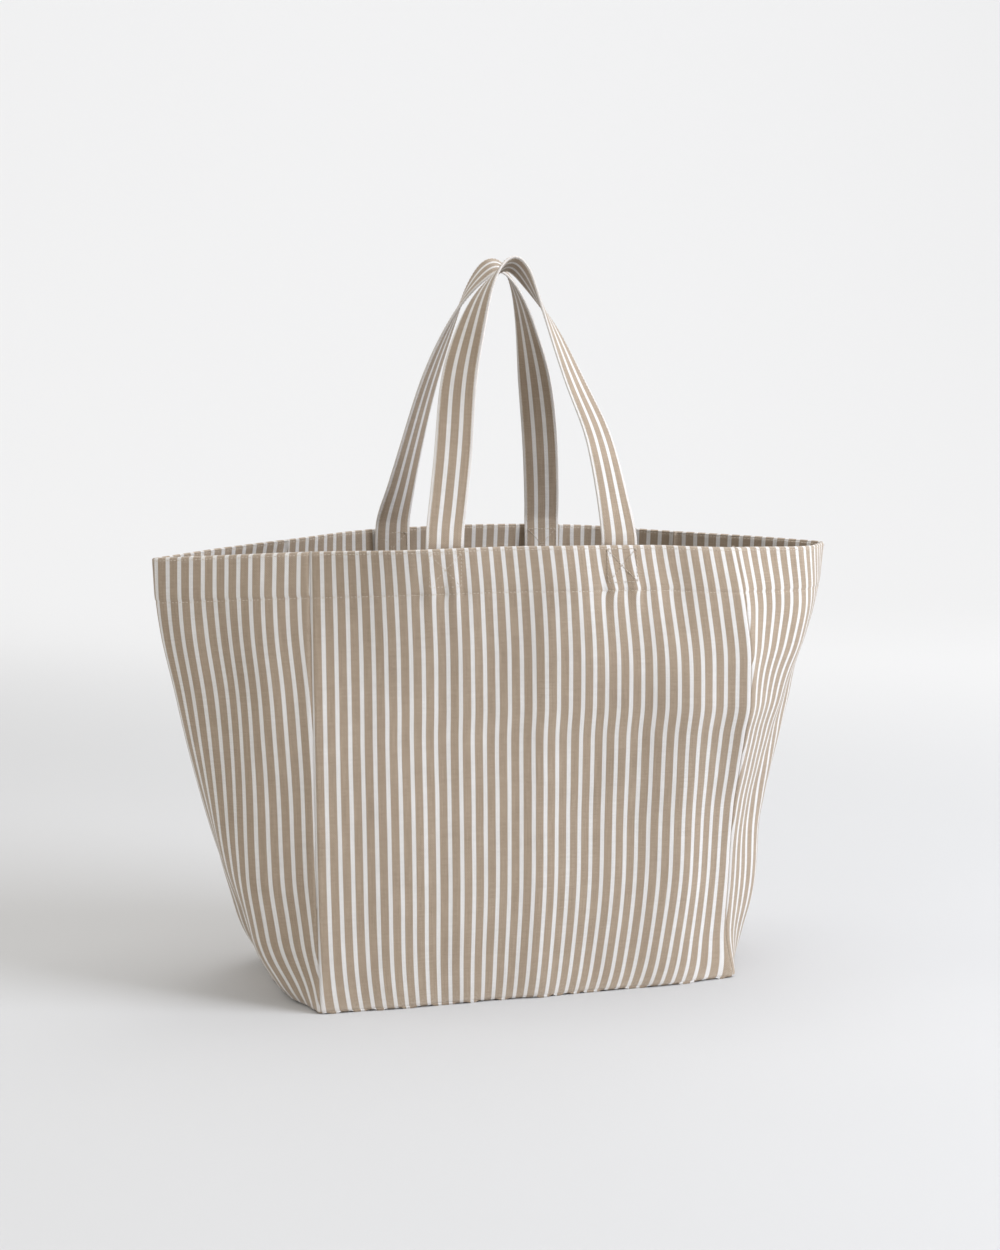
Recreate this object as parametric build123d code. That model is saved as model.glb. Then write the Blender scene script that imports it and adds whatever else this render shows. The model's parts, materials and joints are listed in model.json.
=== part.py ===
from build123d import *
import math
import os

# A large striped canvas tote bag that stands open on its base, with two shoulder straps.
# Millimetres. The origin is at the centre of the base, on the surface the bag stands on.
# +X runs along the front panel, +Y from front to back, +Z up. The left half mirrors the
# right half, and the back mirrors the front.

# Cloth
CLOTH = 1.2                 # one layer of heavy canvas
HEM_TURN = 2.0              # two more layers, where the top edge is turned in
HEM_DEPTH = 38.0
THREAD = 0.4                # how far a row of stitching stands proud
ROW_WIDTH = 0.9             # width of a row of stitching
GAP = 0.1                   # play between pieces that are sewn together

# Flat widths of the panels
PANEL_HALF = 181.5          # front or back panel, seam to centre
FLAT_HALF = 98.0            # the middle of a panel stays straight between its bends

# The shape the bag stands in
RIM_Z = 375.0               # rim at the middle of a panel
TIP_DROP = 12.0             # how much lower the rim is at the gusset folds
WALL_TOP = 1.04             # walls are drawn a little past the rim, then trimmed to it
PANEL_Y_BASE = 103.0        # panel from the centre, at the floor
PANEL_Y_RIM = 90.0          # panel from the centre, at the rim
SEAM_X_BASE = 181.0
SEAM_Y_BASE = 100.0
SEAM_PROUD = 1.0            # the gusset seam stands this far out of the rim's straight side
TIP_X_BASE = 200.0          # gusset fold at the floor
TIP_X_RIM = 303.0           # gusset fold at the rim, before it is rounded
TIP_POWER = 0.58            # the fold leans out fast near the floor, then stands up
PANEL_BEND = 60.0           # radius where the panel turns beside the straps
FOLD_BASE = 70.0            # radius of the gusset fold at the floor
FOLD_RIM = 5.0              # radius of the gusset fold at the rim
LEAST_FOLD = 0.8            # smallest radius on the inner side of a fold
BASE_CORNER = 9.0           # corner radius of the base
WALL_LEVELS = (0.05, 0.15, 0.3, 0.5, 0.75)

# Gusset seams and stitching
ALLOWANCE = 10.0            # depth of the seam allowance inside the bag
ALLOWANCE_THICK = 2.0       # its two layers, overcast together
ALLOWANCE_START = 1.4       # from the inside corner to the allowance
SEAM_ROW = 6.0              # from the start of the allowance to its stitching
BASE_SEAM_LENGTH = 186.0    # the straight stretch of the allowance along the base
EDGE_ROW = 2.0              # rim edge stitching, below the rim

# Straps
STRAP_WIDTH = 31.0
STRAP_THICK = 2.4
STRAP_X = 75.0              # centre of a strap leg at the rim
HINGE_TO_STRAP = 3.5        # from the middle of the hem to the middle of the strap
LOOP_HEIGHT = 236.0         # from the hinge line to the top of a loop, along the strap
LOOP_START = 3.0            # a loop starts this far above its hinge line
LEAN = 17.0                 # the loops lean in until they meet over the middle of the bag
LOOP_SHAPE = 1.82           # 2 is a parabola, and less makes the legs straighter
TWIST_END = 0.85            # share of the height where the strap has turned its face out
LEG_STEPS = 14
STEP_POWER = 1.5            # the steps along a leg get shorter towards the top
SEWN_LENGTH = 35.0          # length of strap sewn down inside the hem
SEWN_TOP = 0.8              # the sewn end starts this far below the hinge line
BOX_INSET = 3.5             # box stitching, in from the edges of the sewn end
STRAP_ROW = 13.0            # edge stitching, from the middle of the strap

PANEL_TILT = math.degrees(math.atan((PANEL_Y_BASE - PANEL_Y_RIM) / RIM_Z))
HEM_MIDDLE_Y = PANEL_Y_RIM - (CLOTH + HEM_TURN + GAP) / 2
HALF_TURN = Rot(0, 0, 180)

# Corners of the outline, in order: each half has a bend, a seam, a fold, a seam and a bend
FRONT_WALL = (8, 9, 0, 1)
RIGHT_WALL = (1, 2, 3)
SEAM_CORNERS = {"right": (1, 3), "left": (6, 8)}


def mix(a, b, share):
    return a + (b - a) * share


def outline(level):
    """Corners of the bag's outline at a level, 0 at the floor and 1 at the rim."""
    rim_side = math.hypot(TIP_X_RIM - FLAT_HALF, PANEL_Y_RIM)
    along = (PANEL_HALF - FLAT_HALF) / rim_side
    seam_x_rim = mix(FLAT_HALF, TIP_X_RIM, along)
    seam_y_rim = mix(PANEL_Y_RIM, 0, along) + SEAM_PROUD
    panel_y = mix(PANEL_Y_BASE, PANEL_Y_RIM, level)
    seam_x = mix(SEAM_X_BASE, seam_x_rim, level)
    seam_y = mix(SEAM_Y_BASE, seam_y_rim, level)
    tip_x = mix(TIP_X_BASE, TIP_X_RIM, level**TIP_POWER)
    right = [(FLAT_HALF, -panel_y), (seam_x, -seam_y), (tip_x, 0), (seam_x, seam_y), (FLAT_HALF, panel_y)]
    left = [(-x, -y) for x, y in right]
    return right + left


def corner_directions(points, i):
    """The inward direction that halves corner i, and the inward normal of the side before it."""
    here = Vector(*points[i])
    before = (here - Vector(*points[i - 1])).normalized()
    after = (Vector(*points[(i + 1) % len(points)]) - here).normalized()
    normal_before = Vector(-before.Y, before.X)
    normal_after = Vector(-after.Y, after.X)
    return (normal_before + normal_after).normalized(), normal_before


def offset_outline(level, inward):
    """The outline at a level, moved inwards by a distance, with mitred corners."""
    points = outline(level)
    moved = []
    for i, point in enumerate(points):
        bisector, normal = corner_directions(points, i)
        place = Vector(*point) + bisector * (inward / bisector.dot(normal))
        moved.append((place.X, place.Y, level * RIM_Z))
    return moved


def corner_radii(level, inward, seam_radius=0):
    """Radius at each corner of the outline, for a line at a distance inwards."""
    bend = PANEL_BEND - inward
    fold = max(mix(FOLD_BASE, FOLD_RIM, level**0.5) - inward, LEAST_FOLD)
    return [bend, seam_radius, fold, seam_radius, bend] * 2


def wall_section(level, corners, outer, inner):
    """The closed section of a wall between two distances inside the outline."""
    middle = corners[1:-1]
    runs = []
    for inward in (outer, inner):
        points = offset_outline(level, inward)
        radii = corner_radii(level, inward)
        runs.append(FilletPolyline(*[points[i] for i in corners], radius=[radii[i] for i in middle]))
    outside, inside = runs
    caps = [Line(outside @ 1, inside @ 1), Line(inside @ 0, outside @ 0)]
    return Wire(outside.edges() + inside.edges() + ShapeList(cap.edge() for cap in caps))


def wall(corners, levels):
    """One wall of canvas, rising through the levels."""
    sections = [wall_section(level, corners, 0, CLOTH) for level in levels]
    return Solid.make_loft(sections, ruled=True)


def filled_ring(inward, levels, seam_radius=0):
    """Everything inside a line at a distance within the outline."""
    sections = []
    for level in levels:
        radii = corner_radii(level, inward, seam_radius)
        ring = FilletPolyline(*offset_outline(level, inward), radius=radii, close=True)
        sections.append(Wire(ring.edges()))
    return Solid.make_loft(sections, ruled=True)


def under_rim(depth):
    """The space below a line that follows the rim at a depth."""
    reach = TIP_X_RIM
    middle = RIM_Z - depth
    ends = middle - TIP_DROP
    top = ThreePointArc((-reach, ends), (0, middle), (reach, ends))
    sides = Polyline((reach, ends), (reach, -RIM_Z), (-reach, -RIM_Z), (-reach, ends))
    face = Plane.XZ * make_face(top.edges() + sides.edges())
    return extrude(face, PANEL_Y_BASE * 2, both=True)


def band(outer, inner, top_depth, bottom_depth):
    """A ring that follows the rim, between two distances inwards and two depths."""
    levels = (WALL_LEVELS[-1], WALL_TOP)
    ring = filled_ring(outer, levels) - filled_ring(inner, levels)
    return ring & (under_rim(top_depth) - under_rim(bottom_depth))


def row_band(depth):
    """A row of stitching round the outside of the bag, at a depth below the rim."""
    return band(-GAP / 2 - THREAD, -GAP / 2, depth - ROW_WIDTH / 2, depth + ROW_WIDTH / 2)


def base_panel():
    radii = corner_radii(0, 0, BASE_CORNER)
    ring = FilletPolyline(*offset_outline(0, 0), radius=radii, close=True)
    return extrude(make_face(ring.edges()), CLOTH)


def seam_quad(level, corner, start, end, side_start, side_end):
    """A section of a flap that points inwards from a seam corner."""
    points = offset_outline(level, CLOTH)
    bisector, _ = corner_directions(outline(level), corner)
    across = Vector(-bisector.Y, bisector.X)
    origin = Vector(*points[corner])
    places = [(start, side_start), (end, side_start), (end, side_end), (start, side_end)]
    corners = [origin + bisector * inward + across * sideways for inward, sideways in places]
    return Wire.make_polygon(corners)


def seam_run(side, start, end, side_start, side_end, base_low, base_high):
    """A flap or a row of stitching along both upright seams of a gusset and along the base."""
    hem_bottom = 1 - (HEM_DEPTH + TIP_DROP) / RIM_Z
    first = (CLOTH + ALLOWANCE_THICK + 3 * THREAD) / RIM_Z
    levels = (first,) + WALL_LEVELS + (hem_bottom,)
    solids = []
    for corner in SEAM_CORNERS[side]:
        quads = [seam_quad(level, corner, start, end, side_start, side_end) for level in levels]
        solids.append(Solid.make_loft(quads, ruled=True))
    sign = 1 if side == "right" else -1
    far = SEAM_X_BASE - CLOTH - ALLOWANCE_START
    width = end - start
    place = Pos(sign * (far - start - width / 2), 0, (base_low + base_high) / 2)
    solids.append(place * Box(width, BASE_SEAM_LENGTH, base_high - base_low))
    return Compound([solid.solid() for solid in solids])


def seam_allowance(side):
    half = ALLOWANCE_THICK / 2
    end = ALLOWANCE_START + ALLOWANCE
    base_low = CLOTH + GAP / 2
    return seam_run(side, ALLOWANCE_START, end, -half, half, base_low, base_low + ALLOWANCE_THICK)


def seam_stitching(side):
    low = ALLOWANCE_THICK / 2 + GAP / 2
    start = ALLOWANCE_START + SEAM_ROW
    base_low = CLOTH + ALLOWANCE_THICK + GAP
    return seam_run(side, start, start + ROW_WIDTH, low, low + THREAD, base_low, base_low + THREAD)


def on_panel(shape):
    """Moves a shape drawn about the front hinge line onto the slope of the front panel."""
    return Pos(0, -HEM_MIDDLE_Y, RIM_Z) * Rot(-PANEL_TILT, 0, 0) * shape


def sewn_end(x):
    """The end of a strap, sewn flat inside the hem."""
    place = Pos(x, HINGE_TO_STRAP, -SEWN_TOP - SEWN_LENGTH / 2)
    return on_panel(place * Box(STRAP_WIDTH, STRAP_THICK, SEWN_LENGTH))


def stitched_box(x, y):
    """A rectangle of stitching with a cross in it, standing in the XZ plane at y."""
    width = STRAP_WIDTH - 2 * BOX_INSET
    height = SEWN_LENGTH - 2 * BOX_INSET
    frame = Rectangle(width, height) - Rectangle(width - 2 * ROW_WIDTH, height - 2 * ROW_WIDTH)
    slope = math.degrees(math.atan2(height - ROW_WIDTH, width - ROW_WIDTH))
    length = math.hypot(width - ROW_WIDTH, height - ROW_WIDTH) - ROW_WIDTH
    for angle in (slope, -slope):
        frame += Rot(0, 0, angle) * Rectangle(length, ROW_WIDTH)
    box = extrude(Plane.XZ * frame, THREAD / 2, both=True)
    return Pos(x, y, -SEWN_TOP - SEWN_LENGTH / 2) * box


def box_stitching(x):
    """The box stitching of one sewn end, as it shows inside the bag and outside it."""
    inside = HINGE_TO_STRAP + STRAP_THICK / 2 + (GAP + THREAD) / 2
    outside = -(CLOTH + HEM_TURN + GAP) / 2 - GAP - THREAD / 2
    boxes = [on_panel(stitched_box(x, y)) for y in (inside, outside)]
    return Compound([box.solid() for box in boxes])


def loop_place(share):
    """A point of the loop, for a share from -1, the left end, through 0, the top, to 1."""
    angle = math.radians(90) * (1 - abs(share))
    sideways = STRAP_X * math.cos(angle) * math.copysign(1, share)
    return sideways, LOOP_START + (LOOP_HEIGHT - LOOP_START) * math.sin(angle)**LOOP_SHAPE


def loop_section(share, width, thick, across, proud):
    """The strap's section in the loop's plane, moved across the strap and out of its face."""
    x, height = loop_place(share)
    step = 0.002
    ahead = loop_place(min(share + step, 1))
    behind = loop_place(max(share - step, -1))
    tangent = Vector(ahead[0] - behind[0], 0, ahead[1] - behind[1]).normalized()
    if abs(share) == 1:
        tangent = Vector(0, 0, -math.copysign(1, share))
    risen = min((height - LOOP_START) / (LOOP_HEIGHT * TWIST_END), 1)
    turned = math.radians(90) * risen * risen * (3 - 2 * risen)
    outward = Vector(-tangent.Z, 0, tangent.X)
    face_out = Vector(0, -1, 0) * math.cos(turned) + outward * math.sin(turned)
    along_width = tangent.cross(face_out)
    centre = Vector(x, HINGE_TO_STRAP, height) + along_width * across + face_out * proud
    signs = ((-1, -1), (1, -1), (1, 1), (-1, 1))
    corners = [centre + along_width * (a * width / 2) + face_out * (b * thick / 2) for a, b in signs]
    return Wire.make_polygon(corners)


def loop_solid(width, thick, across=0, proud=0):
    """A solid that follows the strap's loop from rim to rim."""
    steps = [i / LEG_STEPS for i in range(-LEG_STEPS, LEG_STEPS + 1)]
    shares = [math.copysign(abs(step)**STEP_POWER, step) for step in steps]
    sections = [loop_section(share, width, thick, across, proud) for share in shares]
    loop = Solid.make_loft(sections, ruled=True)
    return Pos(0, -HEM_MIDDLE_Y, RIM_Z) * Rot(-LEAN, 0, 0) * loop


def loop_stitching():
    """Rows of stitching along both edges of the strap, on both faces."""
    proud = STRAP_THICK / 2 + (GAP + THREAD) / 2
    places = [(across, face) for across in (-STRAP_ROW, STRAP_ROW) for face in (-proud, proud)]
    return Compound([loop_solid(ROW_WIDTH, THREAD, across, face) for across, face in places])


def build_nodes():
    """Every node of the bag, by name."""
    levels = (CLOTH / RIM_Z,) + WALL_LEVELS + (WALL_TOP,)
    trim = under_rim(0)
    front = wall(FRONT_WALL, levels) & trim
    right = wall(RIGHT_WALL, levels) & trim
    loop = loop_solid(STRAP_WIDTH, STRAP_THICK)
    rows = loop_stitching()
    nodes = {
        "front_panel": front,
        "back_panel": HALF_TURN * front,
        "base_panel": base_panel(),
        "right_gusset": right,
        "left_gusset": HALF_TURN * right,
        "rim_hem": band(CLOTH + GAP, CLOTH + GAP + HEM_TURN, 0, HEM_DEPTH),
        "rim_edge_stitching": row_band(EDGE_ROW),
        "hem_stitching": row_band(HEM_DEPTH - EDGE_ROW),
        "front_handle_strap": loop,
        "back_handle_strap": HALF_TURN * loop,
        "front_handle_stitching": rows,
        "back_handle_stitching": HALF_TURN * rows,
    }
    for side in SEAM_CORNERS:
        nodes[f"{side}_seam_allowance"] = seam_allowance(side)
        nodes[f"{side}_seam_stitching"] = seam_stitching(side)
    for side, x in (("left", -STRAP_X), ("right", STRAP_X)):
        nodes[f"front_{side}_strap_end"] = sewn_end(x)
        nodes[f"back_{side}_strap_end"] = HALF_TURN * sewn_end(-x)
        nodes[f"front_{side}_box_stitching"] = box_stitching(x)
        nodes[f"back_{side}_box_stitching"] = HALF_TURN * box_stitching(-x)
    return nodes


os.makedirs("parts", exist_ok=True)
for name, shape in build_nodes().items():
    export_step(shape, f"parts/{name}.step")
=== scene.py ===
import bpy
import json
import math
import numpy as np
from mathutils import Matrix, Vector


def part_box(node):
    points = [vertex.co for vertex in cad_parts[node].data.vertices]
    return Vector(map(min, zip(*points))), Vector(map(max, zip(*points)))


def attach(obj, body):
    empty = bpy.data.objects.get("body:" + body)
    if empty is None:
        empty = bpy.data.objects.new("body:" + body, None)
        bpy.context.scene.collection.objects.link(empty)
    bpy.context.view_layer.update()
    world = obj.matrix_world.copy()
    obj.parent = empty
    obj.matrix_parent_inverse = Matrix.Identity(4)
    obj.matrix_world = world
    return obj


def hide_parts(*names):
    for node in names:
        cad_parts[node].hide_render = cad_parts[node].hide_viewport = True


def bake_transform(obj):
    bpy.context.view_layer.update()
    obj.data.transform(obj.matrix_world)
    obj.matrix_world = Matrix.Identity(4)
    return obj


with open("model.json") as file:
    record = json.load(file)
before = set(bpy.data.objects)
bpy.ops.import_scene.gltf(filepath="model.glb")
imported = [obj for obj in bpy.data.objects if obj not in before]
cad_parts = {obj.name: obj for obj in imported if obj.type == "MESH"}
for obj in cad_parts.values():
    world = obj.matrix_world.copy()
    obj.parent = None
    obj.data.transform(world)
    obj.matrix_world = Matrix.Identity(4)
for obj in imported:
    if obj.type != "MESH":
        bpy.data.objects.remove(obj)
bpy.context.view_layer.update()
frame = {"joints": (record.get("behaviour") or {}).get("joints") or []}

# The bag's shape is worked out in millimetres and written to meshes in metres.
MM = 0.001

# Sizes that the frame gives
RIM_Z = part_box("rim_hem")[1].z / MM
HINGES = {joint["child"]: joint for joint in frame["joints"]}
HINGE_Y = abs(HINGES["front_handle"]["pos_m"][1]) / MM
HINGE_Z = HINGES["front_handle"]["pos_m"][2] / MM
LOOP_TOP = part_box("front_handle_strap")[1].z / MM

# Cloth
PITCH = 10.0                # the stripes repeat at this distance
CLOTH = 1.0                 # thickness of the canvas
PANEL_HALF = 181.5          # flat half width of the front and back panels
GUSSET_HALF_BASE = 105.0    # and of a gusset, at its base and at its rim
GUSSET_HALF_RIM = 130.0
HEM_DEPTH = 38.0
FOLD_RADIUS = 1.6           # half the thickness of the hem
SEAM_DEPTH = 1.9            # how far the cloth turns in along a gusset seam
SEAM_SPREAD = 1.7           # how far from the seam it starts to turn in
FLOOR_GAP = 1.0             # the cloth stands this far clear of the floor
BASE_ROUND = 3.6            # the wall starts to turn under at this height
TUCK = 9.0                  # how much further the gusset rolls under at its middle
COLUMN_STEP = 3.7           # the meshes' columns are this far apart
SEAM_COLUMNS = (0, 0.5, 1.1, 1.9, 3.0, 4.6, 6.8)    # and this far from a seam beside it
PANEL_FINE, GUSSET_FINE = 300, 400      # points of a section before it is shared out in columns
MITRE_MOST = 1.5            # longest outward step at a corner
INNER_GAP = 0.5             # the inner layers stay this far from the middle of a gusset
PANEL_PHASE = 0.0           # distance of the first white stripe from the left seam
GUSSET_PHASE = 3.6          # distance of a white stripe from the gusset's middle
HEM_ROW = 37.0              # depth of the row of stitching that holds the hem
HEM_STANDS = 0.5            # the hem stands out this far
HEM_PULL = 0.35             # its stitching pulls in this far
HEM_EASE = 1.2              # the step below the hem is eased over this length
ROW_HALF = 1.3              # half width of the groove that the stitching makes
SLACK_LEAST = 0.2           # share of the slack folds that goes on into the stiff hem
SLACK_START = 8.0           # they are in full below the hem, from this distance
SLACK_EASE = 5.0
SLACK_LEAN = 0.9            # they lean to and fro by this much of a wave, in radians
PUCKER_FADE = 16.0          # the puckers die away below the hem over this height
STRAP_PULL = 76.0           # the straps pull at the panels this far from the middle
VEER_HEIGHT = 30.0          # the stripes' lean at the bottom edge dies away over this height
DRAG_FADE = 5.0             # the stripes straighten this soon below the hem
SEAM_CLEAR = 2.8            # the seams' raw edges stay this far above the floor
FOLD_STEPS = 8              # rows of mesh over the fold of the rim
HEM_STEPS = 9               # down the hem's outside, round its stitching, and down the wall
GROOVE_STEPS = 6
WALL_STEPS = 74
TURN_STEPS = 6              # and in the turn from wall to base
HEM_ROWS = 14               # and down the turned-in hem
HEM_LOOSE = 0.8             # the turned-in hem stands off the wall this far at its middle

# How worn the cloth is at its seams, rim and bottom edge: amount, then over what distance
SEAM_WEAR, RIM_WEAR, BASE_WEAR = (0.4, 2.5), (0.5, 2.0), (0.4, 5.0)
BAND_WEAR = 0.5             # the turned-in hem is this much as worn

# Straps
STRAP_WIDTH = 31.0
STRAP_THICK = 2.4
STRAP_INSET = 3.5           # from the hinge line to the middle of the strap's thickness
STRAP_ROW = 13.0            # the rows of stitching are this far from the middle line
STRAP_DIP = 0.12            # share of the thickness that the stitching pulls in
STRAP_DIP_HALF = 0.9        # half width of the groove there
STRAP_SECTION = 40          # points round a strap's section
STRAP_SIDES = 0.5           # powers that square off the section's sides and faces
STRAP_FACES = 0.32
STRAP_STEP = 2.5            # from section to section
STRAP_EASE = 9.0            # a strap's bends are eased over this length
STRAP_UNEVEN = (0.10, 23.0)             # its thickness varies by this share, in waves of this length
STRAP_WEAR = (12.5, 15.5)   # wear starts and is full at these distances from the middle line
SEWN_DEPTH = 35.0           # length of the end sewn inside the hem
LEAN = 17.0                 # degrees from upright
LEAN_START = 2.0            # the lean starts this far above the hinge line
LEAN_EASE = 6.0

# Stitching
THREAD = 0.27               # radius of the thread
THREAD_SIDES = 6
STITCH = 2.3                # length of a stitch
STITCH_PITCH = 3.0
STITCH_RINGS = (-0.98, -0.8, -0.4, 0, 0.4, 0.8, 0.98)   # places along half a stitch
STITCH_RISE, STITCH_SINK = 1.1, 0.7     # a stitch arches up and sinks in, in thread radii
RIM_ROW = 2.6               # depth of the row beside the rim
BOX_TOP, BOX_LOW = 5.0, 32.0            # depth of the stitched boxes' top and bottom
BOX_STEPS = 8
SEAM_STEP = 2.5
SEAM_EASES = 3              # how many times a seam's corners are eased
SEAM_AIM = (120.0, 150.0)   # the seams' raw edges point at this place: x and z
ALLOWANCE = 9.0             # depth of a seam's raw edges
ALLOWANCE_CURLS = ((0.7, 31.0, 0), (0.35, 12.7, 1))     # size, length and phase of their waves
ALLOWANCE_SHARES = (0, 0.35, 0.7, 0.97)                 # places across them, up to the rounded edge
OVERCAST = 3.4              # length of an overcast stitch
OVERCAST_PITCH = 2.2
OVERCAST_SLANT, EDGE_SLANT = 0.5, 0.6
EDGE_CLEAR = 0.1
SEAM_ROW = 1.5              # the closing row is this far from the seam

# Looks: stripe measures are shares of the stripes' pitch
THREAD_WIDTH = 0.07         # width of one thread of the weave
STRIPE_HALF = 0.168         # half width of a white stripe
STRIPE_SOFT = 0.014         # its edge is soft over this width,
STRIPE_STEP = 0.022         # stepped by this much
STRIPE_WANDER = 0.05        # and wanders by up to half of this
TONE_PARTS = (0.34, 0.30, 0.22, 0.14)   # from warp threads, weft threads, uneven yarn, patchy dye
WANDER_SCALE = (0.7, 0.16, 1)           # noise scales across and along the stripes
WARP_SCALE = (1 / THREAD_WIDTH, 0.35, 1)
WEFT_SCALE = (0.5, 1 / THREAD_WIDTH, 1)
YARN_SCALE, DYE_SCALE = 6.0, 0.35
TONE_RANGE = (0.30, 0.70)   # the noises' usual range
HOLLOW_SHADE = 0.35         # how far the weave's hollows are shaded
HOLLOW_TONE = 0.45          # and to what share of the darker taupe
RUBBED = (0.15, 0.55)       # least and most colour that wear takes off
CLOTH_ROUGH = (0.94, 0.82)
CLOTH_SHINE, CLOTH_SHEEN, SHEEN_ROUGH = 0.22, 0.35, 0.45
YARN_BUMP = (0.25, 0.0004)  # strength, and height in metres
WEAVE_BUMP = (0.45, 0.00022)
THREAD_SHEEN = 0.15
THREAD_ROUGH = (0.55, 0.75)
THREAD_GRAIN = 400.0        # noise scale of the thread's uneven tone
PLIES, PLY_TWIST = 2, 4.0   # plies of the thread, and how far they twist over a stitch
PLY_BUMP = (0.5, 0.0001)
TAUPE = ((0.320, 0.248, 0.180, 1), (0.460, 0.364, 0.272, 1))
WHITE = ((0.70, 0.68, 0.66, 1), (0.86, 0.845, 0.83, 1))
STRAP_TAUPE = ((0.320, 0.248, 0.180, 1), (0.450, 0.356, 0.267, 1))
WORN = (0.62, 0.55, 0.48, 1)
# Thread colours; the dark one is painted shade in the grooves between the plies
THREAD_LIGHT = (0.66, 0.57, 0.47, 1)
THREAD_DARK = (0.42, 0.34, 0.26, 1)

# Studio, in metres and degrees
CAMERA_PLACE = (-0.495, -1.817, 0.5686)
CAMERA_TURN = 15.2
CAMERA_DIP = 8.2
LENS = 64.3                 # millimetres, on a sensor 36 mm wide
SENSOR = 36.0
LOOK_AT = (0.0, 0.0, 0.3)   # the lights point here
FLOOR_TONE = (0.60, 0.60, 0.602, 1)
WALL_TONE = (0.26, 0.26, 0.262, 1)
# Painted light: the backdrop glows with this strength, though it is no lamp
WALL_GLOW = 0.605
FLOOR_FADE = (0.6, 2.2)     # between these distances behind the bag, floor turns to backdrop, which glows: painted light
FADE_SKEW = 0.6             # and sooner on the right, away from the bag's shadow, so the floor is painted lighter on the right
PAPER_ROUGH, PAPER_SHINE = 0.9, 0.1
PAPER_SHADE = (0.97, 0.97, 0.97, 1)
BACKDROP_Y = 3.2
BACKDROP_CURVE = 1.2        # radius of the curve from floor to wall
BACKDROP_STEPS = 12
BACKDROP_REACH = 40.0
BACKDROP_TOP = 6.0
AIR = 0.48
AIR_COLOUR = (1.0, 0.985, 0.955, 1.0)
# Name, place, size, power and colour of each light
LIGHTS = (
    ("key_light", (2.6, -1.7, 1.7), 1.7, 120.0, (0.95, 0.985, 1.06)),
    ("fill_light", (-3.0, -1.4, 1.3), 2.4, 22.0, (1.03, 1.0, 0.95)),
    ("top_light", (0.6, 0.4, 3.2), 2.4, 34.0, (1.0, 1.0, 1.0)),
    ("wall_light", (-2.2, 0.6, 2.6), 1.6, 16.0, (1.03, 1.0, 0.95)),
)

# Shape of the standing bag: height above the floor, then x and y
FRONT_LEFT_SEAM = ((0, -180, -101), (100, -179.5, -92), (210, -178, -78), (300, -176, -63), (375, -174, -51))
FRONT_RIGHT_SEAM = (
    (0, 181, -94), (40, 177, -84), (100, 180, -82), (150, 181, -87), (185, 182, -97),
    (216, 182, -108), (245, 184, -115), (280, 184, -115), (325, 182, -106), (375, 178, -88),
)
BACK_RIGHT_SEAM = ((0, 180, 101), (100, 179, 92), (210, 178, 80), (300, 176, 68), (375, 175, 54))
BACK_LEFT_SEAM = ((0, -180, 101), (100, -179.5, 93), (210, -178, 81), (300, -176, 68), (375, -175, 55))
LEFT_FOLD = (
    (0, -200, 0), (14, -204, 0), (34, -211, 0), (60, -218, 0), (112, -241, 0), (166, -257, 0),
    (215, -269, 0), (263, -279, 0), (311, -289, 0), (345, -293, 0), (375, -294, 0),
)
RIGHT_FOLD = (
    (0, 200, 0), (12, 205, 0), (40, 213, 0), (79, 224, 0), (123, 232, -1), (151, 239, -3),
    (184, 244, -10), (222, 248, -20), (263, 254, -25), (298, 267, -23), (331, 280, -18), (375, 288, -14),
)
# Height above the floor, then y at a quarter, half and three quarters of the way across
FRONT_MIDDLE = (
    (0, -103, -103, -102), (130, -98, -101, -99), (265, -84, -96, -108),
    (330, -86, -93, -97), (375, -90, -90, -90),
)
BACK_MIDDLE = ((0, 102, 103, 102), (130, 99, 101, 99), (265, 91, 98, 90), (375, 90, 90, 90))
# Distance along the rim from the middle of the front or back, then the rim's height
RIM_FRONT = ((-312, 363.5), (-181, 370.5), (-75, 374), (0, 374.5), (75, 373), (181, 368), (312, 362))
RIM_BACK = ((-312, 363.5), (-181, 370), (0, 375), (181, 368), (312, 362))
# Height above the floor, then how round the fold is, from 0 for a sharp crease
RIGHT_ROUND = ((0, 0.9), (60, 0.7), (150, 0.35), (265, 0.2), (375, 0.1))
LEFT_ROUND = ((0, 0.9), (60, 0.7), (150, 0.4), (265, 0.16), (375, 0.03))
# Height above the floor, then how far the two halves of the gusset swell, in their order round the bag
RIGHT_SWELL = (
    (0, 0, 0), (60, 8, 5), (150, 3, 5), (213, 2, 5), (250, 5, 4), (293, 13, 4), (330, 17, 4), (375, 18, 3),
)
LEFT_SWELL = ((0, 0, 0), (14, 9, 9), (60, 20, 21), (130, 14, 15), (200, 7, 8), (265, 3, 4), (375, 2, 2))
# Straps from the rim up: x and height of the two legs of each, then of its top
FRONT_LEGS = (
    ((-71, 374), (-65, 410), (-58, 448), (-49, 505), (-35, 549), (-19, 583)),
    ((77, 374), (74, 409), (67, 457), (51, 502), (27, 566)),
)
BACK_LEGS = (
    ((-76, 374), (-70, 410), (-63, 448), (-52, 500), (-38, 545), (-21, 582)),
    ((60, 374), (57, 410), (52, 450), (43, 500), (32, 545), (18, 583)),
)
APEX = {-1: (3, 603.5), 1: (0, 603)}
# For each leg, share of the height, then how far the strap has turned edge-on, in degrees
FRONT_TWISTS = (
    ((0, 0), (0.3, 12), (0.55, 28), (0.78, 56), (0.9, 78), (1, 104)),
    ((0, 0), (0.1, 14), (0.4, 30), (0.6, 42), (0.78, 60), (0.88, 80), (1, 106)),
)
BACK_TWISTS = (
    ((0, 0), (0.1, 20), (0.35, 38), (0.6, 48), (0.78, 62), (0.88, 78), (1, 104)),
    ((0, 0), (0.5, 30), (0.72, 65), (0.88, 86), (1, 104)),
)
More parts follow.
